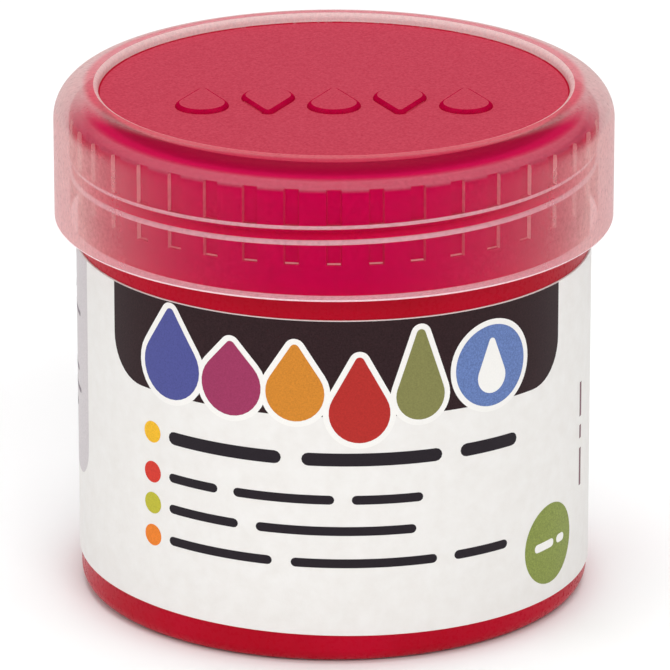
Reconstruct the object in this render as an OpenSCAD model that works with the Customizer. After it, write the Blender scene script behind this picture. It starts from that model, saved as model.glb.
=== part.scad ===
// Screw-top jar of acrylic paint: a moulded pot, its paint, a wrap-around
// label, a loose sealing disc and a single-wall screw lid with grip ribs inside.
// Millimetres. The origin is the centre of the foot, +Z runs up the jar's axis, and
// the label's front panel faces -Y. Angles around the jar are counted from the front
// (-Y) and grow anticlockwise seen from above.

/* [Pot] */
// Outer diameter of the bare pot wall
pot_d = 44; // [42:0.5:50]
// Thickness of the pot wall and neck wall
wall = 1.4; // [1:0.1:2]
// Radius of the corner between the wall and the foot
foot_round = 1.4; // [0.6:0.1:2]
// Depth of the recess under the floor
foot_recess = 0.7; // [0.3:0.1:1.2]
// Width of the flat ring that the pot stands on
foot_ring_w = 2.2; // [1.5:0.1:4]
// Height of the pot's straight wall, where the shoulder starts to turn in
shoulder_z = 33.6; // [28:0.1:40]
// Height of the neck's rim
rim_z = 41.9; // [40:0.1:44]

/* [Screw thread] */
// How far the neck steps in from the pot's side
neck_step = 1.1; // [0.9:0.1:1.6]
// Rise of the thread in one turn
lead = 2.6; // [2.2:0.1:3]
// Width of a thread ridge where it meets its wall
ridge_base_w = 1.25; // [1:0.05:1.4]
// Width of a thread ridge at its crest
ridge_crest_w = 0.5; // [0.3:0.05:0.7]
// How far the pot's ridge stands out of the neck
pot_ridge_h = 0.85; // [0.6:0.05:1]
// How far the lid's ridge stands in from the lid's wall
lid_ridge_h = 1.5; // [1.3:0.05:1.6]
// Height of the lid's ridge at the front
lid_ridge_z = 38.7; // [38:0.1:39.4]
// Axial gap between the two ridges' bearing flanks when the lid is closed
ridge_gap = 0.05; // [0.02:0.01:0.2]

/* [Lid] */
// Outer diameter of the lid
lid_d = 48; // [47:0.5:54]
// Thickness of the lid's skirt
lid_wall = 1.35; // [1:0.05:1.6]
// Height of the skirt's lower edge
lid_low_z = 33.06; // [32:0.02:34]
// Height of the lid's crown
lid_top_z = 44.75; // [44.2:0.05:46]
// Radius of the rounding between the skirt and the crown
crown_round = 2.94; // [2:0.02:3.2]
// Radius of the flat panel sunk into the crown
panel_r = 20.16; // [18:0.02:20.6]
// Depth of the panel below the crown
panel_drop = 0.79; // [0.4:0.01:1]
// Thickness of the panel
panel_t = 1.11; // [0.9:0.01:1.3]
// Number of upright ribs inside the skirt
rib_count = 40; // [24:1:48]
// Width of each rib where it meets the skirt
rib_w = 1.5; // [0.8:0.1:1.8]
// How far each rib stands in from the skirt
rib_h = 0.4; // [0.2:0.05:0.5]
// Height of the ribs' lower ends
rib_low_z = 35.8; // [34.5:0.1:37]

/* [Raised mark on the lid] */
// Number of raised drops in the row on the panel
mark_count = 5; // [3:1:5]
// Distance between neighbouring drops
mark_pitch = 5.6; // [5:0.1:6.5]
// Radius of a drop's round end
mark_r = 2.3; // [1.2:0.1:2.4]
// How far the drops stand up from the panel
mark_h = 0.35; // [0.2:0.05:0.5]

/* [Label] */
// Thickness of the label
label_t = 0.16; // [0.1:0.02:0.3]
// Height of the label's lower edge at the front
label_low_z = 2.66; // [2:0.02:6]
// Height of the label's upper edge at the front
label_top_z = 30.8; // [26:0.1:32]
// Slope of the lower edge in degrees, lower on the +X side
label_low_tilt = 1.2; // [0:0.1:2]
// Slope of the upper edge in degrees, lower on the +X side
label_top_tilt = 0.5; // [0:0.1:2]
// Width of the bare strip at the back between the label's two ends
label_seam = 1.6; // [0.5:0.1:4]

/* [Paint and seal] */
// Height of the paint's surface
fill_z = 36.9; // [30:0.1:37.2]
// Thickness of the paint film left on the neck's inner wall
film_t = 0.2; // [0.1:0.05:0.4]
// Radius of the sealing disc
seal_r = 21.6; // [21.2:0.1:21.6]
// Thickness of the sealing disc
seal_t = 0.85; // [0.6:0.05:0.9]

/* [Hidden] */
$fn = 96;

pot_r = pot_d / 2;
pot_in_r = pot_r - wall;
neck_r = pot_r - neck_step;
neck_in_r = neck_r - wall;
neck_z = shoulder_z + 1;
floor_z = foot_recess + wall;
floor_round = 2;
bore_step_z = shoulder_z - 0.7;
rim_round = 0.4;

lid_r = lid_d / 2;
lid_in_r = lid_r - lid_wall;
panel_z = lid_top_z - panel_drop;
panel_low_z = panel_z - panel_t;
skirt_edge_round = 0.2;
inner_round = 0.9;
rib_top_z = panel_low_z - inner_round + 0.45;
rib_taper = 0.35;

// The closed lid's ridge sits just under the pot's ridge. At the middle of their
// radial overlap each ridge is this much wider than its crest on either side.
overlap_r = (neck_r + pot_ridge_h + lid_in_r - lid_ridge_h) / 2;
pot_half_w = ridge_crest_w / 2
    + (ridge_base_w - ridge_crest_w) / 2 * (neck_r + pot_ridge_h - overlap_r) / pot_ridge_h;
lid_half_w = ridge_crest_w / 2
    + (ridge_base_w - ridge_crest_w) / 2 * (overlap_r - lid_in_r + lid_ridge_h) / lid_ridge_h;
pot_ridge_z = lid_ridge_z + pot_half_w + lid_half_w + ridge_gap;
lid_ridge_from = -170;
lid_ridge_to = 190;
pot_ridge_from = -250;
pot_ridge_to = 200;
ridge_step = 6;
ridge_fade = 24;
ridge_sink = 0.3;

seal_gap = 0.03;
seal_z = rim_z + seal_gap;
skin_gap = 0.02;
mark_y = -3.4;
mark_sink = 0.2;
far = 60;

// Points of an arc in the radius-height plane, from angle a to angle b.
function arc(r0, z0, r, a, b, n = 8) =
    [for (i = [0 : n]) let (t = a + (b - a) * i / n) [r0 + r * cos(t), z0 + r * sin(t)]];

// Half the pot's section: the outside from the foot up, over the rim and down inside.
function pot_section() = concat(
    [
        [0, foot_recess],
        [pot_r - foot_round - foot_ring_w - foot_recess, foot_recess],
        [pot_r - foot_round - foot_ring_w, 0]
    ],
    arc(pot_r - foot_round, foot_round, foot_round, -90, 0),
    arc(pot_r - 1, shoulder_z, 1, 0, 90),
    [[neck_r, neck_z]],
    arc(neck_r - rim_round, rim_z - rim_round, rim_round, 0, 90, 4),
    arc(neck_in_r + rim_round, rim_z - rim_round, rim_round, 90, 180, 4),
    pot_bore()
);

// The inside of the pot from the neck's bore down to the middle of the floor.
function pot_bore() = concat(
    [[neck_in_r, bore_step_z + neck_step], [pot_in_r, bore_step_z]],
    arc(pot_in_r - floor_round, floor_z + floor_round, floor_round, 0, -90, 6),
    [[0, floor_z]]
);

// Half the paint's section: it fills the pot to fill_z and wets the neck above that.
function paint_section() = concat(
    [
        [0, fill_z],
        [neck_in_r - film_t - 0.8, fill_z],
        [neck_in_r - film_t, fill_z + 0.5],
        [neck_in_r - film_t, rim_z - rim_round - 0.3],
        [neck_in_r - skin_gap, rim_z - rim_round - 0.1]
    ],
    [for (p = pot_bore()) [max(0, p[0] - skin_gap), p[1] + (p[1] == floor_z ? skin_gap : 0)]]
);

// Half the lid's section: up the skirt, over the crown, across the panel and back
// along the underside.
function lid_section() = concat(
    [[lid_in_r, lid_low_z]],
    arc(lid_r - skirt_edge_round, lid_low_z + skirt_edge_round, skirt_edge_round, -90, 0, 3),
    arc(lid_r - crown_round, lid_top_z - crown_round, crown_round, 0, 90, 10),
    arc(panel_r + 0.5, lid_top_z - 0.5, 0.5, 90, 180, 4),
    [[panel_r, panel_z], [0, panel_z], [0, panel_low_z]],
    arc(lid_in_r - inner_round, panel_low_z - inner_round, inner_round, 90, 0, 5)
);

// A helical ridge swept as a trapezoid, its base sunk into the wall at base_r and its
// crest crest_h further out, or further in when crest_h is negative. Both ends fade.
module ridge(base_r, crest_h, z_front, from, to) {
    steps = round((to - from) / ridge_step);
    out = sign(crest_h);
    function fade(t) = min(1, 0.12 + (t - from) / ridge_fade, 0.12 + (to - t) / ridge_fade);
    function at(r, t, z) = [r * sin(t), -r * cos(t), z];
    points = [
        for (i = [0 : steps])
            let (
                t = from + (to - from) * i / steps,
                z = z_front + lead * t / 360,
                f = fade(t),
                crest = base_r + crest_h * f,
                low_w = ridge_base_w / 2,
                top_w = low_w + (ridge_crest_w / 2 - low_w) * f
            )
            for (p = [
                [base_r - out * ridge_sink, -low_w],
                [crest, -top_w],
                [crest, top_w],
                [base_r - out * ridge_sink, low_w]
            ]) at(p[0], t, z + p[1])
    ];
    sides = [
        for (i = [0 : steps - 1]) for (j = [0 : 3])
            let (a = 4 * i + j, b = 4 * i + (j + 1) % 4)
            for (f = [[a, b, b + 4], [a, b + 4, a + 4]])
                out > 0 ? f : [f[2], f[1], f[0]]
    ];
    last = 4 * steps;
    ends = [
        for (f = [[3, 2, 1], [3, 1, 0], [last, last + 1, last + 2], [last, last + 2, last + 3]])
            out > 0 ? f : [f[2], f[1], f[0]]
    ];
    polyhedron(points, concat(sides, ends));
}

// One upright rib on the inside of the skirt, at the front.
module rib() {
    translate([0, -lid_in_r, rib_low_z])
        linear_extrude(rib_top_z - rib_low_z)
            polygon([
                [-rib_w / 2, -rib_h],
                [rib_w / 2, -rib_h],
                [rib_w / 2, 0],
                [rib_w / 2 - rib_taper, rib_h],
                [rib_taper - rib_w / 2, rib_h],
                [-rib_w / 2, 0]
            ]);
}

// A paint drop seen from above, its tip pointing to +Y.
module drop(r) {
    tip = 2.1 * r;
    touch = asin(r / tip);
    polygon(concat([[0, tip]], arc(0, 0, r, 180 - touch, 360 + touch, 20)));
}

// The raised mark: a row of drops that point to the back and the front by turns.
module mark() {
    for (i = [0 : mark_count - 1])
        translate([(i - (mark_count - 1) / 2) * mark_pitch, mark_y, panel_z - mark_sink])
            rotate(i % 2 == 0 ? 0 : 180)
                linear_extrude(mark_h + mark_sink)
                    translate([0, -0.55 * mark_r])
                        drop(mark_r);
}

module pot() {
    color([0.75, 0.09, 0.2]) {
        rotate_extrude() polygon(pot_section());
        ridge(neck_r, pot_ridge_h, pot_ridge_z, pot_ridge_from, pot_ridge_to);
    }
}

module paint() {
    color([0.72, 0.03, 0.2]) rotate_extrude() polygon(paint_section());
}

module label() {
    color([0.95, 0.94, 0.91])
        difference() {
            translate([0, 0, label_low_z - 2]) cylinder(h = label_top_z - label_low_z + 4, r = pot_r + label_t);
            translate([0, 0, -1]) cylinder(h = far, r = pot_r);
            translate([0, 0, label_low_z])
                rotate([0, label_low_tilt, 0])
                    translate([-far / 2, -far / 2, -far]) cube(far);
            translate([0, 0, label_top_z])
                rotate([0, label_top_tilt, 0])
                    translate([-far / 2, -far / 2, 0]) cube(far);
            translate([-label_seam / 2, 0, -1]) cube([label_seam, far, far]);
        }
}

module seal_disc() {
    color([0.93, 0.86, 0.87]) translate([0, 0, seal_z]) cylinder(h = seal_t, r = seal_r);
}

module lid() {
    color([0.87, 0.48, 0.55]) {
        rotate_extrude() polygon(lid_section());
        for (i = [0 : rib_count - 1]) rotate(i * 360 / rib_count) rib();
        ridge(lid_in_r, -lid_ridge_h, lid_ridge_z, lid_ridge_from, lid_ridge_to);
        mark();
    }
}

pot();
paint();
label();
seal_disc();
lid();
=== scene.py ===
"""Looks of the paint jar: its pot, paint, printed label, sealing disc and frosted lid.

Lengths are in millimetres and become metres when a mesh is made. Angles around the jar
are in degrees, counted from the front (-Y) and growing anticlockwise seen from above.
"""

import math

import bpy
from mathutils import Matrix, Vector
from mathutils.geometry import delaunay_2d_cdt


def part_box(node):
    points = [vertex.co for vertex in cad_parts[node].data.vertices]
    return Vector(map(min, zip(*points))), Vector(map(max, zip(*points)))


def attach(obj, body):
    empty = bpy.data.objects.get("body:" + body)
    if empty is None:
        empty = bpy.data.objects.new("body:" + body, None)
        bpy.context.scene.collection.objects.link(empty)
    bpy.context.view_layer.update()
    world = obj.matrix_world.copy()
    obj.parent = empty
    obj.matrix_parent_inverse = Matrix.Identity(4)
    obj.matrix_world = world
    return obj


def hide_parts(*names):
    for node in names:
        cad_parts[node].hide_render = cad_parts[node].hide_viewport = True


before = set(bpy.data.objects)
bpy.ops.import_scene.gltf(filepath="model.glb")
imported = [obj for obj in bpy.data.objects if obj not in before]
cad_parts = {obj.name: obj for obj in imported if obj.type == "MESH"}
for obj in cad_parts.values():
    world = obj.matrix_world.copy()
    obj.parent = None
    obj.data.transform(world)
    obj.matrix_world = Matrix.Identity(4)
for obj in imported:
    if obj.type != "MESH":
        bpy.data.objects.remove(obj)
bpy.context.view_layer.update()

MM = 0.001
SIDES = 288
PAINT_SIDES = 192


def size_of(node):
    """(outer radius, lowest height, highest height) of a round CAD node, in millimetres."""
    low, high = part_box(node)
    return high.x / MM, low.z / MM, high.z / MM


# ---------------------------------------------------------------- driving dimensions
POT_R, _, RIM_Z = size_of("pot")
LID_R, LID_LOW, LID_TOP = size_of("lid")
SEAL_R, SEAL_LOW, SEAL_TOP = size_of("seal_disc")
LABEL_R, LABEL_BOX_LOW, LABEL_BOX_TOP = size_of("label")

# The pot: _R is a radius, _Z a height over the ground and _W a width, here and below.
WALL = 1.4
FOOT_ROUND = 1.4
FOOT_RECESS = 0.7
FOOT_RING_W = 2.2
FOOT_BEVEL = 0.2
GATE_R = 1.0
GATE_DEPTH = 0.25
SHOULDER_Z = 33.6
SHOULDER_ROUND = 1.0
NECK_R = POT_R - 1.1
NECK_IN_R = NECK_R - WALL
FLOOR_Z = FOOT_RECESS + WALL

# The lid, its sunk panel and its inside
LID_WALL = 1.35
LID_IN_R = LID_R - LID_WALL
CROWN_ROUND = 2.94
PANEL_R = 20.16
PANEL_Z = LID_TOP - 0.79
PANEL_LOW = PANEL_Z - 1.11
INNER_ROUND = 0.9
CORNER_R = LID_R - CROWN_ROUND

# The lid's ribs and its raised mark
RIB_COUNT = 40
RIB_W = 1.5
RIB_H = 0.4
RIB_LOW = 35.8
RIB_TOP = PANEL_LOW - INNER_ROUND + 0.45
RIB_SHORTEST = 0.5
RIB_TAPER_Z = 0.1
RIB_TAPER = 0.75

MARK_COUNT = 5
MARK_PITCH = 5.6
MARK_R = 2.3
MARK_TIP_R = 0.6
MARK_H = 3.1 * MARK_R - 0.3
MARK_Y = -3.4
MARK_RISE = 0.35

# The screw: its ridges are placed at the front and span a range of angles
LEAD = 2.6
POT_RIDGE_BASE_W = 1.25
LID_RIDGE_BASE_W = 0.96
RIDGE_CREST_W = 0.5
POT_RIDGE_H = 0.85
LID_RIDGE_H = 1.5
LID_RIDGE_Z = 38.44
POT_RIDGE_Z = 39.46
LID_RIDGE_SPAN = (-170, 190)
POT_RIDGE_SPAN = (-250, 200)
POT_ROOT = 0.16
LID_ROOT = 0.36

# The paint and its film on the neck
FILL_Z = 36.9
SWIRL_H = 0.26
PEAK_H = 0.42
FILM = 0.2
SKIN_GAP = 0.02

# The label: how far its edges and its print are tilted, and the bare strip at its seam
LABEL_LOW_TILT = 1.2
LABEL_TOP_TILT = 0.5
ART_TILT = 1.0
LABEL_SEAM = 1.6


# ---------------------------------------------------------------- mesh helpers
def at(r, angle, z):
    """The point at a radius, an angle from the front and a height."""
    t = math.radians(angle)
    return (r * math.sin(t), -r * math.cos(t), z)


def arc(r0, z0, r, a, b, n):
    """Points of an arc about (r0, z0), from angle a to angle b."""
    steps = [math.radians(a + (b - a) * i / n) for i in range(n + 1)]
    return [(r0 + r * math.cos(t), z0 + r * math.sin(t)) for t in steps]


def bend(a, corner, b, n):
    """Points of a quadratic curve from a to b that rounds off a corner."""
    out = []
    for i in range(n + 1):
        t = i / n
        out.append(tuple((1 - t) ** 2 * p + 2 * t * (1 - t) * q + t * t * s
                         for p, q, s in zip(a, corner, b)))
    return out


def new_object(name, points, faces, sharp=40):
    """A smooth-shaded mesh object whose edges stay sharp above an angle."""
    mesh = bpy.data.meshes.new(name)
    mesh.from_pydata([tuple(c * MM for c in p) for p in points], [], faces)
    mesh.validate()
    obj = bpy.data.objects.new(name, mesh)
    bpy.context.scene.collection.objects.link(obj)
    smooth(obj, sharp)
    return obj


def smooth(obj, sharp=40):
    """Shades a mesh smooth, apart from edges that turn more than an angle."""
    mesh = obj.data
    mesh.polygons.foreach_set("use_smooth", [True] * len(mesh.polygons))
    mesh.set_sharp_from_angle(angle=math.radians(sharp))
    mesh.update()


def lathe(name, section, sides=SIDES):
    """Turns a section about the axis. section(angle) gives (radius, height) points in
    anticlockwise order; the first and the last are on the axis, or the loop is closed."""
    rings = [section(360 * j / sides) for j in range(sides)]
    count = len(rings[0])
    on_axis = [rings[0][i][0] < 1e-6 for i in range(count)]
    points, index = [], {}
    for i in range(count):
        for j in range(1 if on_axis[i] else sides):
            index[i, j] = len(points)
            r, z = rings[j][i]
            points.append(at(r, 360 * j / sides, z))
        for j in range(1, sides) if on_axis[i] else ():
            index[i, j] = index[i, 0]
    faces = []
    for i in range(count):
        k = (i + 1) % count
        if on_axis[i] and on_axis[k]:
            continue
        for j in range(sides):
            m = (j + 1) % sides
            loop = [index[i, j], index[i, m], index[k, m], index[k, j]]
            faces.append(list(dict.fromkeys(loop)))
    return new_object(name, points, faces)


def tube(name, rings):
    """Joins equal rings of points into a closed skin with flat ends."""
    count = len(rings[0])
    points = [p for ring in rings for p in ring]
    faces = []
    for i in range(len(rings) - 1):
        for j in range(count):
            a, b = i * count + j, i * count + (j + 1) % count
            faces.append([a, b, b + count, a + count])
    last = (len(rings) - 1) * count
    faces.append(list(range(count))[::-1])
    faces.append(list(range(last, last + count)))
    return new_object(name, points, faces)


def face_out(obj):
    """Turns a closed skin's faces outward if its volume comes out negative."""
    mesh = obj.data
    mesh.calc_loop_triangles()
    co = [v.co for v in mesh.vertices]
    volume = sum(co[a].dot(co[b].cross(co[c]))
                 for a, b, c in (t.vertices for t in mesh.loop_triangles))
    if volume < 0:
        mesh.flip_normals()
    return obj


def unite(base, parts, sharp=40):
    """Fuses closed parts into a closed base and removes them."""
    for part in parts:
        union = base.modifiers.new("union", "BOOLEAN")
        union.operation = "UNION"
        union.solver = "MANIFOLD"
        union.object = part
    made = base.evaluated_get(bpy.context.evaluated_depsgraph_get())
    mesh = bpy.data.meshes.new_from_object(made)
    base.modifiers.clear()
    base.data = mesh
    for part in parts:
        bpy.data.objects.remove(part)
    smooth(base, sharp)
    return base


def join(name, objects):
    """One object that holds the meshes of several."""
    points, faces = [], []
    for obj in objects:
        start = len(points)
        points += [tuple(c / MM for c in v.co) for v in obj.data.vertices]
        faces += [[start + i for i in p.vertices] for p in obj.data.polygons]
        bpy.data.objects.remove(obj)
    return new_object(name, points, faces)


def give(obj, *materials, rule=None):
    """Sets an object's materials; rule(centre, normal, nearest) gives each face's slot,
    where nearest is the smallest distance of its corners from the jar's axis."""
    obj.data.materials.clear()
    for material in materials:
        obj.data.materials.append(material)
    if rule:
        reach = [v.co.xy.length / MM for v in obj.data.vertices]
        slots = [rule(f.center / MM, f.normal, min(reach[i] for i in f.vertices))
                 for f in obj.data.polygons]
        obj.data.polygons.foreach_set("material_index", slots)
        obj.data.update()


def show(obj, body, slot, *nodes):
    """Lets a piece ride on its body and stand for CAD nodes; slot is not used."""
    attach(obj, body)
    if nodes:
        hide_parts(*nodes)


# ---------------------------------------------------------------- screw ridges
def ridge_outline(height, root, base_w):
    """Half a ridge's profile from wall to crest, as (distance from the wall, half width).
    root is how far the fillet at its foot reaches along the wall."""
    base, crest = base_w / 2, RIDGE_CREST_W / 2
    slope = Vector((height, crest - base)).normalized()
    crest_round, foot_round = 0.14, min(root, 0.2)
    flank_low = (slope.x * foot_round, base + slope.y * foot_round)
    flank_top = (height - slope.x * crest_round, crest - slope.y * crest_round)
    return (bend((0, base + root), (0, base), flank_low, 5)
            + bend(flank_top, (height, crest), (height, crest - crest_round), 4))


def ridge(name, wall_r, height, root, base_w, z_front, span):
    """A helical ridge, standing out of a wall, or into the jar when height is negative.
    It sinks into the wall a little and runs out over some degrees at both ends."""
    start, end = span
    out = math.copysign(1, height)
    half = ridge_outline(abs(height), root, base_w)
    sink, run_out, step = 0.3, 24, 2
    least_rise, least_width = 0.03, 0.15
    rings = []
    count = round((end - start) / step)
    for i in range(count + 1):
        angle = start + (end - start) * i / count
        from_end = min(angle - start, end - angle)
        rise = math.sin(min(1, least_rise + from_end / run_out) * math.pi / 2)
        z = z_front + LEAD * angle / 360
        slim = least_width + (1 - least_width) * rise
        side = [(-sink, half[0][1] * slim)] + [(d * rise, w * slim) for d, w in half]
        profile = [(d, -w) for d, w in side] + side[::-1]
        rings.append([at(wall_r + out * d, angle, z + w) for d, w in profile])
    return face_out(tube(name, rings))


# ---------------------------------------------------------------- paint drops
def drop_outline(centre, r, tip_r, height, turn=0.0, grow=0.0):
    """A drop's outline: a round end, a small rounded tip and the straight sides between.
    centre is the middle of its height, and grow moves the outline outward."""
    gap = height - r - tip_r
    lean = math.degrees(math.acos((r - tip_r) / gap))
    low = r - height / 2
    loop = (arc(0, low + gap, tip_r + grow, 90 - lean, 90 + lean, 8)
            + arc(0, low, r + grow, 90 + lean, 450 - lean, 22))
    c, s = math.cos(math.radians(turn)), math.sin(math.radians(turn))
    return [(centre[0] + x * c - y * s, centre[1] + x * s + y * c) for x, y in loop]


def pillow_drop(centre, turn):
    """A drop of the mark, which stands up from the lid's panel with a rounded edge."""
    sink, edge, steps = 0.2, 0.5, 6
    foot = drop_outline(centre, MARK_R, MARK_TIP_R, MARK_H, turn)
    rings = [[(x, y, PANEL_Z - sink) for x, y in foot]]
    for i in range(steps + 1):
        t = math.radians(90 * i / steps)
        inset = edge * (1 - math.cos(t))
        outline = drop_outline(centre, MARK_R, MARK_TIP_R, MARK_H, turn, grow=-inset)
        rings.append([(x, y, PANEL_Z + MARK_RISE * math.sin(t)) for x, y in outline])
    return face_out(tube("drop", rings))


# ---------------------------------------------------------------- pot
def pot_bore(gap=0.0):
    """The pot's inside from the neck's bore down to the middle of the floor. gap draws it
    in, for a skin that just clears the pot."""
    pot_in_r, floor_round = POT_R - WALL, 2.0
    step_z = SHOULDER_Z - 0.7
    points = [(NECK_IN_R, step_z + POT_R - NECK_R), (pot_in_r, step_z)]
    points += arc(pot_in_r - floor_round, FLOOR_Z + floor_round, floor_round, 0, -90, 10)
    return [(r - gap, max(z, FLOOR_Z + gap)) for r, z in points] + [(0, FLOOR_Z + gap)]


def pot_section(_):
    """The pot: a foot ring round a recess with a gate mark, a wall, a shoulder and a neck."""
    ring_in = POT_R - FOOT_ROUND - FOOT_RING_W
    recess_r = ring_in - FOOT_RECESS
    gate_z = FOOT_RECESS - GATE_DEPTH
    rim_round = 0.4
    points = [(0, gate_z), (GATE_R, gate_z), (GATE_R + GATE_DEPTH, FOOT_RECESS)]
    points += bend((recess_r - 0.3, FOOT_RECESS), (recess_r, FOOT_RECESS),
                   (recess_r + FOOT_BEVEL, FOOT_RECESS - FOOT_BEVEL), 4)
    points += bend((ring_in - FOOT_BEVEL, FOOT_BEVEL), (ring_in, 0), (ring_in + 0.3, 0), 4)
    points += arc(POT_R - FOOT_ROUND, FOOT_ROUND, FOOT_ROUND, -90, 0, 12)
    points += arc(POT_R - SHOULDER_ROUND, SHOULDER_Z, SHOULDER_ROUND, 0, 78, 10)
    neck_z = SHOULDER_Z + SHOULDER_ROUND
    points += bend((NECK_R + 0.05, neck_z - 0.015), (NECK_R, neck_z), (NECK_R, neck_z + 0.2), 4)
    points += arc(NECK_R - rim_round, RIM_Z - rim_round, rim_round, 0, 90, 8)
    points += arc(NECK_IN_R + rim_round, RIM_Z - rim_round, rim_round, 90, 180, 8)
    return points + pot_bore()


def make_pot():
    pot = lathe("pot_shell", pot_section)
    thread = ridge("thread", NECK_R, POT_RIDGE_H, POT_ROOT, POT_RIDGE_BASE_W, POT_RIDGE_Z,
                   POT_RIDGE_SPAN)
    return unite(pot, [thread])


# ---------------------------------------------------------------- paint
def paint_section(angle):
    """The paint's section: a stirred surface, a meniscus and a film up the neck."""
    t = math.radians(angle)
    wall_r = NECK_IN_R - FILM
    meniscus, steps = 0.9, 28
    points = [(0, FILL_Z + PEAK_H)]
    for i in range(1, steps + 1):
        r = i / steps * (wall_r - meniscus)
        calm = min(1, r / 5) * math.exp(-((r / 15) ** 4))
        swirl = SWIRL_H * math.sin(2 * t + 0.62 * r) * calm
        peak = PEAK_H * math.exp(-((r / 2.2) ** 2))
        points.append((r, FILL_Z + swirl + peak))
    edge_r, edge_z = points[-1]
    points += bend((edge_r + 0.15, edge_z), (wall_r, edge_z), (wall_r, FILL_Z + meniscus), 6)
    film_top = RIM_Z - 1.25 + 0.3 * math.sin(3 * t + 0.6) + 0.16 * math.sin(7 * t)
    film_end = (NECK_IN_R - SKIN_GAP, film_top + 0.1)
    points += [(wall_r, film_top - 0.3)]
    points += bend((wall_r, film_top - 0.2), (wall_r, film_top), film_end, 4)
    return points + pot_bore(SKIN_GAP)


def make_paint():
    return face_out(lathe("paint_fill", lambda angle: paint_section(angle)[::-1], PAINT_SIDES))


# ---------------------------------------------------------------- sealing disc
def seal_section(_):
    """A soft disc with rounded edges and a groove that the pot's rim has pressed in."""
    edge, groove = 0.18, 0.07
    groove_z = SEAL_LOW + groove
    flat, corner = 0.55, 0.75
    middle = (NECK_R + NECK_IN_R) / 2
    points = [(0, SEAL_LOW)]
    points += bend((middle - 0.95, SEAL_LOW), (middle - corner, SEAL_LOW),
                   (middle - flat, groove_z), 4)
    points += bend((middle + flat, groove_z), (middle + corner, SEAL_LOW),
                   (middle + 0.9, SEAL_LOW), 4)
    points += arc(SEAL_R - edge, SEAL_LOW + edge, edge, -90, 0, 6)
    points += arc(SEAL_R - edge, SEAL_TOP - edge, edge, 0, 90, 6)
    return points + [(0, SEAL_TOP)]


# ---------------------------------------------------------------- lid
def lid_section(_):
    """The lid: a skirt, a round crown, a wall down to the sunk panel, and the inside."""
    edge, inner_edge, lip, foot = 0.2, 0.12, 0.5, 0.15
    points = arc(LID_R - edge, LID_LOW + edge, edge, -90, 0, 6)
    points += arc(CORNER_R, LID_TOP - CROWN_ROUND, CROWN_ROUND, 0, 90, 26)
    points += arc(PANEL_R + lip, LID_TOP - lip, lip, 90, 180, 8)
    points += arc(PANEL_R - foot, PANEL_Z + foot, foot, 0, -90, 5)
    points += [(PANEL_R - 0.6, PANEL_Z), (0, PANEL_Z), (0, PANEL_LOW)]
    points += arc(LID_IN_R - INNER_ROUND, PANEL_LOW - INNER_ROUND, INNER_ROUND, 90, 0, 10)
    return points + arc(LID_IN_R + inner_edge, LID_LOW + inner_edge, inner_edge, 180, 270, 4)


def ridge_heights(angle):
    """Heights at which the lid's ridge passes an angle from the front."""
    start, end = LID_RIDGE_SPAN
    turns = (angle - 360, angle, angle + 360)
    return [LID_RIDGE_Z + LEAD * a / 360 for a in turns if start <= a <= end]


def rib_profile():
    """A rib's outline, as (distance in from the skirt, distance along it)."""
    half, slope, edge, sink = RIB_W / 2, 0.16, 0.07, 0.4
    top_half = half - slope
    side = bend((RIB_H - edge, top_half), (RIB_H, top_half), (RIB_H, top_half - edge), 4)
    profile = [(-sink, half)] + side
    return profile + [(d, -w) for d, w in reversed(profile)]


def make_rib(angle, low, high):
    """One stretch of a rib, a little lower at both ends."""
    levels = ((low, RIB_TAPER), (low + RIB_TAPER_Z, 1), (high - RIB_TAPER_Z, 1), (high, RIB_TAPER))
    rings = []
    for z, scale in levels:
        ring = [(LID_IN_R - (d * scale if d > 0 else d), w) for d, w in rib_profile()]
        rings.append([at(r, angle + math.degrees(w / LID_IN_R), z) for r, w in ring])
    return face_out(tube("rib", rings))


def make_ribs():
    """The upright ribs inside the skirt, which stop short of the ridge."""
    clear = LID_RIDGE_BASE_W / 2 + LID_ROOT + 0.02
    pieces = []
    for i in range(RIB_COUNT):
        angle = 360 * i / RIB_COUNT
        ends = [RIB_LOW]
        for z in sorted(ridge_heights((angle + 180) % 360 - 180)):
            ends += [z - clear, z + clear]
        ends.append(RIB_TOP)
        for low, high in zip(ends[::2], ends[1::2]):
            if high - low >= RIB_SHORTEST:
                pieces.append(make_rib(angle, low, high))
    return join("ribs", pieces)


def make_mark():
    """The row of raised drops on the lid, pointing back and forth by turns."""
    drops = []
    for i in range(MARK_COUNT):
        x = (i - (MARK_COUNT - 1) / 2) * MARK_PITCH
        drops.append(pillow_drop((x, MARK_Y), turn=180 * (i % 2)))
    return join("mark", drops)


def make_lid():
    lid = lathe("lid_shell", lid_section)
    thread = ridge("lid_ridge", LID_IN_R, -LID_RIDGE_H, LID_ROOT, LID_RIDGE_BASE_W, LID_RIDGE_Z,
                   LID_RIDGE_SPAN)
    return unite(lid, [make_ribs(), thread, make_mark()], sharp=32)


OUTSIDE, INSIDE, PANEL, MARK, RIB_SIDE, ROOT_HIGHLIGHT, LIP, UNDER, RIDGE = range(9)


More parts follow.
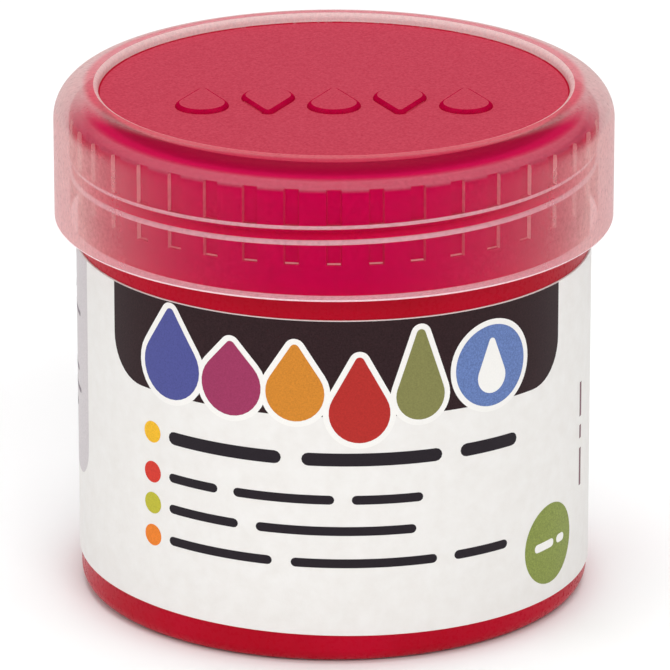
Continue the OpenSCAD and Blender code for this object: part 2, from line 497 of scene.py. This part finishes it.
def lid_rule(centre, normal, nearest):
    """Which of the lid's finishes a face takes, from where it is and how it faces."""
    r = centre.xy.length
    above_panel = centre.z > PANEL_Z - 0.2
    if r < PANEL_R - 0.14 and above_panel:
        raised = centre.z > PANEL_Z + 0.01 and normal.z < 0.97
        return MARK if raised else PANEL
    if r < PANEL_R + 0.4 and above_panel:
        return LIP
    # The skirt's foot, like the ridge's foot below, takes the painted highlight.
    if centre.z < LID_LOW + 0.2 and normal.z < 0:
        return ROOT_HIGHLIGHT
    if nearest > LID_IN_R + 0.3 or centre.z > PANEL_LOW + 0.05:
        return OUTSIDE
    if centre.z > PANEL_LOW - INNER_ROUND:
        return UNDER
    if nearest < LID_IN_R - 0.003:  # a face that stands out of the skirt's inner wall
        angle = math.degrees(math.atan2(centre.x, -centre.y))
        near = min((abs(centre.z - z) for z in ridge_heights(angle)), default=math.inf)
        if near < LID_RIDGE_BASE_W / 2 + LID_ROOT:
            at_foot = near > LID_RIDGE_BASE_W / 2 - 0.08 and r > LID_IN_R - 0.4
            return ROOT_HIGHLIGHT if at_foot else RIDGE
        around = (centre.x * normal.y - centre.y * normal.x) / r
        if abs(around) > 0.88 or (normal.z < -0.5 and centre.z < RIB_LOW + 0.2):
            return RIB_SIDE
    return INSIDE


# ---------------------------------------------------------------- label and its print
LABEL_LOW = LABEL_BOX_LOW + math.tan(math.radians(LABEL_LOW_TILT)) * LABEL_R
LABEL_TOP = LABEL_BOX_TOP - math.tan(math.radians(LABEL_TOP_TILT)) * LABEL_R
# Thickness of an ink layer, its hidden depth in layers, and the width of a flat strip
INK = 0.012
INK_SINK = -0.4
STRIP = 0.5
TOP_MARGIN = 0.06
FINE_SIDES = 56


def label_edge(z, tilt, angle):
    """Height of a tilted label edge at an angle from the front."""
    return z - math.tan(math.radians(tilt)) * LABEL_R * math.sin(math.radians(angle))


def make_label():
    """The wrapped paper, a hair thinner at its edges, with a bare strip at the back."""
    soft = 0.05
    under_r = POT_R + 0.003
    seam = math.degrees(LABEL_SEAM / 2 / POT_R)
    rings = []
    for i in range(SIDES + 1):
        angle = -180 + seam + (360 - 2 * seam) * i / SIDES
        low = label_edge(LABEL_LOW, LABEL_LOW_TILT, angle)
        top = label_edge(LABEL_TOP, LABEL_TOP_TILT, angle)
        lift = 0.0 if 0 < i < SIDES else -soft
        rings.append([
            at(under_r, angle, low),
            at(LABEL_R - soft + lift, angle, low),
            at(LABEL_R + lift, angle, low + soft),
            at(LABEL_R + lift, angle, top - soft),
            at(LABEL_R - soft + lift, angle, top),
            at(under_r, angle, top),
        ])
    return face_out(tube("label_wrap", rings))


def on_label(u, v, layer):
    """The point of the print at u to the right of the front and v up, on an ink layer."""
    angle = math.degrees(u / LABEL_R)
    z = v - math.tan(math.radians(ART_TILT)) * LABEL_R * math.sin(math.radians(angle))
    return at(LABEL_R + layer * INK, angle, z)


def print_shapes(name, loops, layer, material):
    """Prints flat outlines on the label as one closed skin of ink, wrapped round it. Lines
    at every STRIP cut the flat shapes, so that they bend smoothly."""
    coords, faces = [], []
    for loop in loops:
        faces.append(list(range(len(coords), len(coords) + len(loop))))
        coords += [Vector(p) for p in loop]
    low_u, high_u = min(p.x for p in coords), max(p.x for p in coords)
    low_v, high_v = min(p.y for p in coords) - 1, max(p.y for p in coords) + 1
    edges = []
    for i in range(math.ceil(low_u / STRIP), math.floor(high_u / STRIP) + 1):
        edges.append((len(coords), len(coords) + 1))
        coords += [Vector((i * STRIP, low_v)), Vector((i * STRIP, high_v))]
    flat, _, tris, _, _, origin = delaunay_2d_cdt(coords, edges, faces, 0, 1e-5)
    tris = [t for t, faces_in in zip(tris, origin) if faces_in]
    used = sorted({i for t in tris for i in t})
    place = {old: new for new, old in enumerate(used)}
    tris = [[place[i] for i in t] for t in tris]
    count = len(used)
    points = [on_label(flat[i].x, flat[i].y, layer) for i in used]
    points += [on_label(flat[i].x, flat[i].y, INK_SINK) for i in used]
    sides = {(a, b) for t in tris for a, b in zip(t, t[1:] + t[:1])}
    skin = tris + [[i + count for i in t[::-1]] for t in tris]
    skin += [[a, a + count, b + count, b] for a, b in sorted(sides) if (b, a) not in sides]
    obj = face_out(new_object(name, points, skin, sharp=30))
    give(obj, material)
    show(obj, "pot", "label_paper")


def pill(u0, u1, v, height):
    """A bar with round ends, from u0 to u1, centred on height v."""
    r = height / 2
    return arc(u1 - r, v, r, -90, 90, 6) + arc(u0 + r, v, r, 90, 270, 6)


def disc(u, v, d, n=40):
    """A circle of diameter d, as n points."""
    return arc(u, v, d / 2, 0, 360 - 360 / n, n - 1)


def rounded(u0, v0, u1, v1, r, n=8):
    """A rectangle with round corners."""
    return (arc(u1 - r, v0 + r, r, -90, 0, n) + arc(u1 - r, v1 - r, r, 0, 90, n)
            + arc(u0 + r, v1 - r, r, 90, 180, n) + arc(u0 + r, v0 + r, r, 180, 270, n))


def top_panel(left, right, low, r, steps, round_steps):
    """A panel with two round corners below that runs up to the label's upper edge."""
    slope = math.tan(math.radians(ART_TILT)) - math.tan(math.radians(LABEL_TOP_TILT))
    loop = arc(right - r, low + r, r, -90, 0, round_steps)
    for i in range(steps + 1):
        u = right + (left - right) * i / steps
        loop.append((u, LABEL_TOP - TOP_MARGIN + slope * LABEL_R * math.sin(u / LABEL_R)))
    return loop + arc(left + r, low + r, r, 180, 270, round_steps)


# Name, centre across, centre up, radius, height and colour of each drop in the title.
TITLE_DROPS = [
    ("blue", -14.8, 26.0, 2.95, 8.1, (79, 83, 147)),
    ("plum", -8.9, 25.0, 2.7, 6.6, (155, 55, 94)),
    ("amber", -3.3, 25.2, 2.5, 6.8, (206, 132, 46)),
    ("red", 2.15, 23.8, 2.6, 7.6, (177, 46, 42)),
    ("olive", 7.4, 25.8, 2.15, 8.0, (130, 129, 78)),
]
TITLE_TIP_R = 0.4
BADGE = (14.2, 25.6)
BADGE_D = 7.2
OUTLINE = 0.5

TEXT_START = -15.05
# Height, bar height, right end, letters in each word and bullet colour of each text row.
TEXT_ROWS = [
    (18.5, 1.15, 17.25, (7, 8, 4), (236, 182, 44)),
    (14.9, 0.8, 7.85, (4, 7, 5), (208, 58, 46)),
    (12.1, 0.8, 7.25, (5, 10), (188, 182, 58)),
    (9.2, 0.8, 16.25, (7, 9, 4), (232, 128, 44)),
]
BULLET_U = -16.95
BULLET_D = 1.9


def word_bars(start, end, v, height, words):
    """One bar for each word of a row, in proportion to its letters."""
    pitch = (end - start) / (sum(words) + len(words) - 1)
    trim = 0.2
    bars, u = [], start
    for letters in words:
        bars.append(pill(u, u + letters * pitch - trim, v, height))
        u += (letters + 1) * pitch
    return bars


def print_label():
    """All that is printed on the label, from its front round to its back."""
    white = ink("ink_white", (242, 240, 236), grain=0.02)
    black = ink("ink_black", (38, 32, 38))
    print_title(white)
    print_text_rows(black)
    print_weight(white)
    print_side_column()
    print_side_panel()
    print_back(black)


def print_title(white):
    """Five coloured drops and a badge, outlined in white on a dark panel."""
    panel = top_panel(left=-22.0, right=22.8, low=22.3, r=3.8, steps=24, round_steps=10)
    print_shapes("print_title_panel", [panel], 1, ink("ink_charcoal", (46, 28, 31), grain=0.3))
    outlines = [drop_outline((u, v), r, TITLE_TIP_R, h, grow=OUTLINE)
                for _, u, v, r, h, _ in TITLE_DROPS]
    outlines.append(disc(*BADGE, BADGE_D + 2 * OUTLINE, FINE_SIDES))
    print_shapes("print_title_outlines", outlines, 2, white)
    for name, u, v, r, h, colour in TITLE_DROPS:
        drop = drop_outline((u, v), r, TITLE_TIP_R, h)
        print_shapes(f"print_drop_{name}", [drop], 3, ink(f"ink_{name}", colour))
    print_shapes("print_badge", [disc(*BADGE, BADGE_D, FINE_SIDES)], 3,
                 ink("ink_badge", (101, 124, 178), grain=0.25))
    print_shapes("print_badge_drop", [drop_outline(BADGE, 1.45, 0.3, 4.9)], 4, white)


def print_text_rows(black):
    """Rows of bars for the words, each with a coloured bullet."""
    bars = []
    for number, (v, height, end, words, colour) in enumerate(TEXT_ROWS):
        bars += word_bars(TEXT_START, end, v, height, words)
        print_shapes(f"print_bullet_{number + 1}", [disc(BULLET_U, v, BULLET_D)], 1,
                     ink(f"ink_bullet_{number + 1}", colour))
    print_shapes("print_text_bars", bars, 1, black)


def print_weight(white):
    """A green spot with two bars."""
    u, v, d, bar_h = 21.85, 7.6, 7.2, 0.75
    print_shapes("print_weight_spot", [disc(u, v, d, FINE_SIDES)], 1,
                 ink("ink_spot", (134, 146, 72), grain=0.25))
    bars = [pill(u - 2.3, u + 0.5, v, bar_h), pill(u + 1.0, u + 2.3, v, bar_h)]
    print_shapes("print_weight_bars", bars, 2, white)


def print_side_column():
    """Three upright bars for the small text that runs up beside the front."""
    left, right = 27.8, 28.25
    column = []
    for top, low in ((20.3, 17.2), (16.4, 15.2), (14.3, 10.9)):
        column.append([(left, low), (right, low), (right, top), (left, top)])
    print_shapes("print_side_column", column, 1, ink("ink_maroon", (112, 66, 78)))


def small_text(left, widths):
    """A block of thin bars under one another; a width of 0 leaves a line out."""
    top, pitch, height = 26.6, 1.75, 0.42
    return [pill(left, left + width, top - pitch * i, height)
            for i, width in enumerate(widths) if width]


def print_side_panel():
    """The grey panel with lines to the left of the front."""
    panel = top_panel(left=-58.0, right=-27.8, low=10.5, r=3, steps=20, round_steps=8)
    print_shapes("print_side_panel", [panel], 1, ink("ink_grey", (206, 199, 201), grain=0.12))
    lines = small_text(-55.4, (22, 25, 19, 0, 24, 25, 23, 14))
    print_shapes("print_side_lines", lines, 2, ink("ink_side_lines", (120, 108, 116)))


def print_back(black):
    """What the back of such a label carries: text lines, a colour patch and two icons."""
    left = 37.5
    lines = small_text(left, (17, 20, 20, 12, 0, 19, 20, 9))
    print_shapes("print_back_lines", lines, 1, black)
    patch = rounded(left, 5.4, left + 7, 10.4, 0.8)
    print_shapes("print_colour_patch", [patch], 1, ink("ink_patch", (186, 22, 56)))
    drop_u, brush_u, v = 49.4, 56.2, 7.9
    ring_d, field_d = 5.0, 4.2
    print_shapes("print_icon_rings", [disc(u, v, ring_d) for u in (drop_u, brush_u)], 1, black)
    print_shapes("print_icon_fields", [disc(u, v, field_d) for u in (drop_u, brush_u)], 2,
                 ink("ink_icon_field", (242, 240, 236)))
    drop = drop_outline((drop_u, v), 0.85, 0.15, 2.8)
    handle = rounded(brush_u - 0.35, v + 0.2, brush_u + 0.35, v + 1.8, 0.2, 4)
    bristle = drop_outline((brush_u, v - 0.8), 0.55, 0.15, 2.0, turn=180)
    print_shapes("print_icon_marks", [drop, handle, bristle], 3, black)


# ---------------------------------------------------------------- materials
def srgb(r, g, b):
    """A colour given as display values from 0 to 255, in linear light, with alpha."""
    def linear(c):
        c = c / 255
        return c / 12.92 if c <= 0.04045 else ((c + 0.055) / 1.055) ** 2.4
    return (linear(r), linear(g), linear(b), 1)


def add_node(tree, kind, inputs=None, output=0, **settings):
    """Makes a shader node, wires or sets its inputs by name, and returns one output."""
    node = tree.nodes.new("ShaderNode" + kind)
    for key, value in settings.items():
        setattr(node, key, value)
    for key, value in (inputs or {}).items():
        if isinstance(value, bpy.types.NodeSocket):
            tree.links.new(value, node.inputs[key])
        else:
            node.inputs[key].default_value = value
    return node.outputs[output] if node.outputs else None


class Shader:
    """A node material in the making."""

    def __init__(self, name):
        self.material = bpy.data.materials.new(name)
        self.material.use_nodes = True
        self.tree = self.material.node_tree
        self.tree.nodes.clear()

    def add(self, kind, inputs=None, output=0, **settings):
        return add_node(self.tree, kind, inputs, output, **settings)

    def math(self, operation, a, b=0.0, clamp=False):
        return self.add("Math", {0: a, 1: b}, operation=operation, use_clamp=clamp)

    def remap(self, value, low, high, to_low, to_high):
        return self.add("MapRange", {0: value, 1: low, 2: high, 3: to_low, 4: to_high})

    def blend(self, factor, a, b):
        """Mixes two colours."""
        return self.add("Mix", {0: factor, 6: a, 7: b}, output=2, data_type="RGBA")

    def noise(self, scale, detail=2.0, rough=0.5):
        """Noise in the object's own space, with its scale in waves per metre."""
        place = self.add("TexCoord", output="Object")
        return self.add("TexNoise", {
            "Vector": place, "Scale": scale, "Detail": detail, "Roughness": rough,
        })

    def level_noise(self, scale, detail, rough, to_low, to_high):
        """Noise spread over a range of levels."""
        return self.remap(self.noise(scale, detail, rough), 0.3, 0.7, to_low, to_high)

    def from_axis(self):
        """The distance from the jar's axis in millimetres."""
        flat = self.add("VectorMath", {0: self.add("TexCoord", output="Object"),
                                       1: (1 / MM, 1 / MM, 0)}, operation="MULTIPLY")
        return self.add("VectorMath", {0: flat}, output="Value", operation="LENGTH")

    def fade(self, value, low, high, to_low=0.0, to_high=1.0):
        """A soft step between two levels."""
        inputs = {0: value, 1: low, 2: high, 3: to_low, 4: to_high}
        return self.add("MapRange", inputs, interpolation_type="SMOOTHSTEP")

    def bump(self, height, depth, normal=None):
        """A normal bent by a height, for a relief of a depth in millimetres."""
        inputs = {"Strength": 1.0, "Distance": depth * MM, "Height": height}
        if normal:
            inputs["Normal"] = normal
        return self.add("Bump", inputs)

    def done(self, surface):
        """Wires the surface to the material's output and returns the material."""
        self.add("OutputMaterial", {"Surface": surface})
        return self.material


def pot_plastic():
    """Crimson moulded plastic: glossy, with faint flow marks and mould texture."""
    s = Shader("pot_plastic")
    flow = s.remap(s.noise(90, 3), 0.35, 0.65, 0, 1)
    colour = s.blend(flow, srgb(174, 1, 30), srgb(184, 2, 38))
    rough = s.level_noise(2600, 2, 0.5, 0.24, 0.34)
    normal = s.bump(s.noise(1500, 3), 0.004)
    return s.done(s.add("BsdfPrincipled", {
        "Base Color": colour, "Roughness": rough, "Normal": normal, "Specular IOR Level": 0.08,
        "Subsurface Weight": 0.12, "Subsurface Radius": (1.0, 0.12, 0.15),
        "Subsurface Scale": 0.0012,
    }))


def wet_paint():
    """Thick wet paint: deep crimson, with a soft gloss and small bubbles."""
    s = Shader("wet_paint")
    drift = s.noise(220, 4)
    colour = s.blend(s.remap(drift, 0.3, 0.7, 0, 1), srgb(168, 4, 38), srgb(196, 14, 54))
    place = s.add("TexCoord", output="Object")
    bubbles = s.add("TexVoronoi", {"Vector": place, "Scale": 620.0, "Randomness": 1.0},
                    output="Distance")
    pits = s.remap(bubbles, 0.0, 0.16, 0.0, 1.0)
    waves = s.bump(drift, 0.12)
    normal = s.bump(pits, 0.03, waves)
    return s.done(s.add("BsdfPrincipled", {
        "Base Color": colour, "Roughness": s.remap(drift, 0.3, 0.7, 0.22, 0.4), "Normal": normal,
        "Coat Weight": 0.7, "Coat Roughness": 0.1, "Coat Normal": waves,
        "Subsurface Weight": 0.2, "Subsurface Radius": (1.0, 0.1, 0.15), "Subsurface Scale": 0.001,
    }))


def paper():
    """Coated white label paper with faint fibre and a warm mottle."""
    s = Shader("label_paper")
    mottle = s.level_noise(700, 4, 0.6, 0, 1)
    colour = s.blend(mottle, srgb(232, 229, 225), srgb(237, 235, 232))
    fibre = s.noise(5200, 3, 0.6)
    return s.done(s.add("BsdfPrincipled", {
        "Base Color": colour, "Roughness": s.remap(fibre, 0.3, 0.7, 0.42, 0.56),
        "Specular IOR Level": 0.35, "Normal": s.bump(fibre, 0.01),
    }))


def ink(name, rgb, grain=0.12):
    """Printed ink: a flat colour broken by the fine grain of the print."""
    s = Shader(name)
    speckle = s.level_noise(7000, 2, 0.7, 1 - grain, 1 + grain)
    tint = s.add("VectorMath", {0: srgb(*rgb)[:3]}, operation="SCALE")
    s.tree.links.new(speckle, tint.node.inputs["Scale"])
    return s.done(s.add("BsdfPrincipled", {
        "Base Color": tint, "Roughness": 0.42, "Specular IOR Level": 0.1,
        "Normal": s.bump(s.noise(5200, 3, 0.6), 0.008),
    }))


def seal_foam():
    """The foam disc, soaked crimson over the paint and still pale outside the pot's rim."""
    s = Shader("seal_foam")
    cells = s.remap(s.noise(2400, 4, 0.7), 0.35, 0.65, 0, 1)
    soaked = s.blend(cells, srgb(212, 6, 66), srgb(228, 16, 80))
    clean = s.blend(cells, srgb(240, 176, 176), srgb(250, 206, 204))
    ragged = s.math("ADD", s.from_axis(), s.level_noise(260, 3, 0.5, -0.08, 0.08))
    dry = s.fade(ragged, NECK_R + 0.3, NECK_R + 0.65)
    return s.done(s.add("BsdfPrincipled", {
        "Base Color": s.blend(dry, soaked, clean), "Roughness": 0.6, "Specular IOR Level": 0.2,
        "Normal": s.bump(cells, 0.02),
    }))


# Colours that several of the lid's finishes share, and the tints of the light it passes.
PALE = srgb(248, 203, 200)
BEIGE = srgb(234, 204, 201)
# CRIMSON and ROSE, as colours of the lid's milky share, are painted light: they stand for red
# light that the pot and paint scatter into the plastic.
ROSE = srgb(236, 120, 132)
CRIMSON = srgb(238, 5, 100)
TINT_STRAIGHT = srgb(253, 249, 251)
TINT_SLANTED = srgb(248, 232, 234)
GRAIN_SCALE = 2600


class LidShader(Shader):
    """Frosted lid plastic: it passes light with a tint, and a share of it is milky.
    toward runs from 0 edge on to 1 square on, slant the other way and more steeply, and
    behind is 1 on faces that are seen from inside the plastic."""

    def __init__(self, name):
        super().__init__(name)
        facing = self.add("LayerWeight", {"Blend": 0.5}, output="Facing")
        self.toward = self.math("SUBTRACT", 1.0, facing)
        self.slant = self.math("POWER", self.math("DIVIDE", facing, 0.6), 1.6, clamp=True)
        self.behind = self.add("NewGeometry", output="Backfacing")
        self.frost = self.bump(self.noise(GRAIN_SCALE, 3, 0.6), 0.006)

    def height(self):
        """The height over the lid's own zero level in millimetres."""
        place = self.add("TexCoord", output="Object")
        return self.math("DIVIDE", self.add("SeparateXYZ", {0: place}, output="Z"), MM)

    def blend_level(self, factor, a, b):
        """Mixes two levels."""
        return self.add("Mix", {0: factor, 2: a, 3: b}, data_type="FLOAT")

    def plastic(self, share, colour, gloss=0.0):
        """The finish with a milky share of a colour, and a sheen at a slant."""
        grain = self.level_noise(GRAIN_SCALE, 2, 0.7, 0.86, 1.14)
        milky = self.math("MULTIPLY", share, grain, clamp=True)
        tint = self.blend(self.slant, TINT_STRAIGHT, TINT_SLANTED)
        clear = self.add("BsdfTransparent", {"Color": tint})
        near = self.add("BsdfDiffuse", {"Color": colour, "Normal": self.frost})
        through = self.add("BsdfTranslucent", {"Color": colour, "Normal": self.frost})
        milk = self.add("MixShader", {0: 0.25, 1: near, 2: through})
        body = self.add("MixShader", {0: milky, 1: clear, 2: milk})
        if gloss:
            rough = self.level_noise(GRAIN_SCALE, 2, 0.7, 0.26, 0.36)
            shine = self.add("BsdfGlossy", {"Roughness": rough, "Normal": self.frost})
            mirror = self.math("SUBTRACT", self.add("Fresnel", {"IOR": 1.45}), 0.035, clamp=True)
            sheen = self.math("MULTIPLY", mirror, gloss)
            body = self.add("MixShader", {0: sheen, 1: body, 2: shine})
        return self.done(body)


def lid_outside():
    """The outer skin: milky at a slant and clearer square on, from the skirt to the crown."""
    s = LidShader("lid_outside")
    crown = s.fade(s.height(), LID_TOP - 2.55, LID_TOP - 1.55)
    skirt_share = s.remap(s.slant, 0, 1, 0.08, 0.6)
    crown_share = s.fade(s.toward, 0.12, 0.46, 0.76, 0.3)
    outer = s.fade(s.from_axis(), CORNER_R - 0.06, CORNER_R + 0.64)
    rim_colour = s.blend(outer, ROSE, BEIGE)
    crown_colour = s.blend(s.fade(s.toward, 0.3, 0.5), rim_colour, srgb(214, 14, 84))
    colour = s.blend(crown, s.blend(s.slant, CRIMSON, PALE), crown_colour)
    return s.plastic(s.blend_level(crown, skirt_share, crown_share), colour, gloss=0.3)


def lid_inside():
    """The skirt's inner skin, whose crimson milky share is painted light: it stands for the red
    light scattered between the skirt and the pot behind it.
    """
    s = LidShader("lid_inside")
    share = s.remap(s.slant, 0, 1, 0.75, 0.5)
    return s.plastic(share, s.blend(s.slant, CRIMSON, ROSE))


def lid_panel():
    """The frosted panel: nearly opaque, the same all round, with a fine grain in its red."""
    s = LidShader("lid_panel")
    grain = s.level_noise(4200, 2, 0.7, 0, 1)
    colour = s.blend(grain, srgb(192, 58, 80), srgb(212, 80, 100))
    return s.plastic(1.15, colour, gloss=0.12)


def lid_mark_shaded_side():
    """The sides of the raised drops: the frost is thinner there, and their deep crimson is painted
    shade along the drops' edges.
    """
    return LidShader("lid_mark_shaded_side").plastic(0.6, srgb(206, 4, 70))


def lid_rib_side():
    """The ribs' sides and ends, with a painted highlight that makes them pale where they are seen
    face on.
    """
    s = LidShader("lid_rib_side")
    flat = s.add("NewGeometry", output="True Normal")
    facing = s.add("LayerWeight", {"Blend": 0.5, "Normal": flat}, output="Facing")
    face_on = s.math("POWER", s.math("SUBTRACT", 1.0, facing), 3.0)
    side = s.math("MULTIPLY", face_on, 1.6)
    upright = s.add("SeparateXYZ", {0: flat}, output="Z")
    end = s.math("MULTIPLY", s.math("ABSOLUTE", upright), 0.15)
    # Painted highlight: a pale colour where the rib sides are seen face on, and faintly on their
    # ends.
    painted_highlight = s.math("MULTIPLY", s.behind, s.math("MAXIMUM", side, end), clamp=True)
    colour = s.blend(painted_highlight, CRIMSON, srgb(255, 222, 214))
    return s.plastic(s.remap(painted_highlight, 0, 1, 0.7, 1.0), colour)


def lid_root_highlight():
    """Painted highlights: the bright lines where the screw ridge meets the skirt, and along the
    skirt's foot, are a near-white colour in place of light that the fillets and the foot's rounded
    edge catch.
    """
    return LidShader("lid_root_highlight").plastic(0.95, srgb(255, 234, 238))


def lid_ridge():
    """The screw ridge's crest and flanks, in a brighter crimson that is painted light, lifting the
    shade on faces that turn up and down.
    """
    return LidShader("lid_ridge").plastic(0.9, srgb(255, 34, 116))


def lid_lip():
    """The wall around the panel: frosted on the side of the air, with painted shade along its
    foot, a dark crimson where the wall meets the panel.
    """
    s = LidShader("lid_lip")
    rise = s.fade(s.height(), PANEL_Z + 0.05, PANEL_Z + 0.13)
    from_inside = s.remap(s.behind, 0, 1, 1.0, 0.08)
    share = s.math("MULTIPLY", s.remap(rise, 0, 1, 1.0, 0.8), from_inside)
    # Painted shade: the dark crimson below the rise stands for the shadow line at the wall's foot.
    return s.plastic(share, s.blend(rise, srgb(176, 18, 46), BEIGE))


def lid_under():
    """The underside: over the sealing disc its crimson is painted light, kept bright against the
    shade under the panel, and its corner is pale.
    """
    s = LidShader("lid_under")
    reach = s.from_axis()
    over_neck = s.fade(reach, NECK_IN_R - 2.3, NECK_IN_R + 0.1)
    # Painted light: a crimson, lighter towards the axis, brightened to make up for the shade under
    # the panel.
    red_glow = s.blend(over_neck, srgb(250, 84, 132), srgb(226, 34, 112))
    at_corner = s.fade(reach, LID_IN_R - 1.95, LID_IN_R - 0.75)
    corner = s.blend(at_corner, red_glow, srgb(222, 138, 154))
    rise = s.fade(s.height(), PANEL_LOW - 0.8, PANEL_LOW - 0.45)
    wall = s.blend(s.slant, CRIMSON, ROSE)
    share = s.blend_level(rise, s.remap(s.slant, 0, 1, 0.7, 0.5), 0.6)
    return s.plastic(share, s.blend(rise, wall, corner))


def lid_materials():
    """The lid's finishes, in the order of the face rule's numbers."""
    return [lid_outside(), lid_inside(), lid_panel(), lid_mark_shaded_side(), lid_rib_side(), lid_root_highlight(),
            lid_lip(), lid_under(), lid_ridge()]


# ---------------------------------------------------------------- stage, light and camera
def make_floor():
    """A plain pale floor."""
    half, grey = 3000, 0.94
    corners = [(-half, -half, 0), (half, -half, 0), (half, half, 0), (-half, half, 0)]
    floor = new_object("floor", corners, [[0, 1, 2, 3]])
    s = Shader("floor")
    give(floor, s.done(s.add("BsdfDiffuse", {"Color": (grey, grey, grey, 1)})))


def soft_light(name, place, size, power, target):
    """A square area lamp of a size in metres, turned towards a target."""
    lamp = bpy.data.lights.new(name, "AREA")
    lamp.shape = "SQUARE"
    lamp.size = size
    lamp.energy = power
    obj = bpy.data.objects.new(name, lamp)
    obj.location = place
    obj.rotation_euler = (target - obj.location).to_track_quat("-Z", "Y").to_euler()
    bpy.context.scene.collection.objects.link(obj)


def make_world():
    """Pale surroundings that are dimmer behind the jar, and white to the camera."""
    world = bpy.data.worlds.new("studio")
    bpy.context.scene.world = world
    world.use_nodes = True
    tree = world.node_tree
    tree.nodes.clear()
    direction = add_node(tree, "TexCoord", output="Generated")
    depth = add_node(tree, "SeparateXYZ", {0: direction}, output="Y")
    ahead = add_node(tree, "MapRange", {0: depth, 1: -0.6, 2: 0.6, 3: 0.62, 4: 0.42})
    seen = add_node(tree, "LightPath", output="Is Camera Ray")
    strength = add_node(tree, "Mix", {0: seen, 2: ahead, 3: 1.0}, data_type="FLOAT")
    surface = add_node(tree, "Background", {"Color": (1, 1, 1, 1), "Strength": strength})
    add_node(tree, "OutputWorld", {"Surface": surface})


def make_studio():
    """The floor, the surroundings and three soft lamps, in metres and watts."""
    centre = Vector((0, 0, LID_TOP * MM / 2))
    make_floor()
    make_world()
    soft_light("key", Vector((0.25, -0.85, 0.8)), size=0.55, power=3.5, target=centre)
    soft_light("fill", Vector((-0.9, -0.5, 0.5)), size=0.7, power=1.6, target=centre)
    soft_light("top", Vector((0.0, 0.1, 1.2)), size=0.8, power=7.6, target=centre)


def make_camera():
    """A long lens that looks down at the middle of the jar from the front."""
    elevation, distance = math.radians(19.28), 0.6136
    aim_share = 0.4878
    data = bpy.data.cameras.new("camera")
    data.sensor_width = 36
    data.lens = 381.3
    data.shift_x = 0.0015
    data.clip_start, data.clip_end = 0.01, 20
    camera = bpy.data.objects.new("camera", data)
    aim = Vector((0, 0, aim_share * LID_TOP * MM))
    back = Vector((0, -math.cos(elevation), math.sin(elevation)))
    camera.location = aim + back * distance
    camera.rotation_euler = (-back).to_track_quat("-Z", "Y").to_euler()
    bpy.context.scene.collection.objects.link(camera)
    bpy.context.scene.camera = camera


# ---------------------------------------------------------------- the jar
def build():
    """Makes the pieces, each with its finish, body and CAD node."""
    pot = make_pot()
    give(pot, pot_plastic())
    show(pot, "pot", "pot_plastic", "pot")

    paint = make_paint()
    give(paint, wet_paint())
    show(paint, "pot", "paint", "paint")

    label = make_label()
    give(label, paper())
    show(label, "pot", "label_paper", "label")
    print_label()

    seal = lathe("seal_liner", seal_section)
    give(seal, seal_foam())
    show(seal, "seal", "seal_foam", "seal_disc")

    lid = make_lid()
    give(lid, *lid_materials(), rule=lid_rule)
    show(lid, "lid", "lid_plastic", "lid")


make_camera()
make_studio()
build()
scene = bpy.context.scene
scene.view_settings.view_transform = "Standard"
scene.cycles.transparent_max_bounces = 32
scene.cycles.max_bounces = 10
